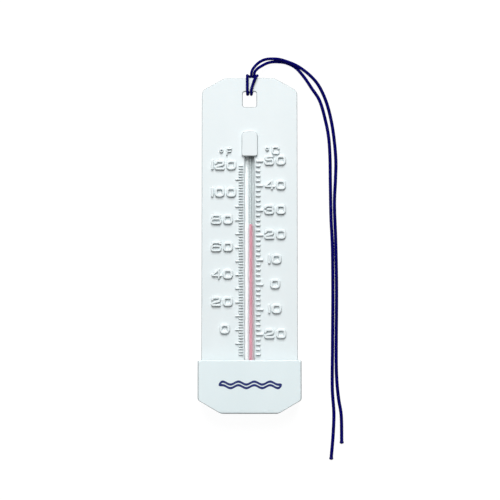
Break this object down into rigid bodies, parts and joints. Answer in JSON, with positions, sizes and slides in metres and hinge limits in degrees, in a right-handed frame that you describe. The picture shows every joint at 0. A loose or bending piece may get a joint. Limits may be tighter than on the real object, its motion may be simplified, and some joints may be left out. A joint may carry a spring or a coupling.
{
  "type": "floating pool thermometer",
  "caption": "Flat plate thermometer with raised scales, spirit tube in a hooded channel, water cup round the bulb, float chamber behind and a hitched cord.",
  "frame": {"origin": "centre of the underside, on the surface that the thermometer lies on (its cord left out)", "axes": "+X to the right of the scale face, +Y towards the end with the cord hole, +Z out of the scale face"},
  "size_m": [0.0819, 0.2298, 0.0194],
  "materials": {
    "white_plastic": "satin",
    "cup_plastic": "satin",
    "clear_glass": "polished",
    "white_enamel": "smooth",
    "red_spirit": "wet",
    "cushion": "matt",
    "ballast_steel": "bright",
    "navy_ink": "printed",
    "navy_cord": "twisted"
  },
  "bodies": {
    "thermometer_body": {"scale_plate": "white_plastic", "back_cover": "white_plastic", "reservoir_cup": "cup_plastic", "tube_strap": "cup_plastic", "glass_tube": "clear_glass", "enamel_backing": "white_enamel", "spirit_column": "red_spirit", "bulb_spirit": "red_spirit", "tube_end_cushion": "cushion", "ballast_bar_left": "ballast_steel", "ballast_bar_right": "ballast_steel", "printed_mark": "navy_ink", "cord_hitch": "navy_cord", "cord_tail_outer": "navy_cord", "cord_tail_inner": "navy_cord"},
    "spirit_level": {"spirit_meniscus": "red_spirit"}
  },
  "joints": [
    {"name": "spirit_rise", "type": "slide", "parent": "thermometer_body", "child": "spirit_level", "axis": [0, 1, 0], "range_m": [-0.0757, 0.0324], "deforming": ["spirit_column"]}
  ]
}
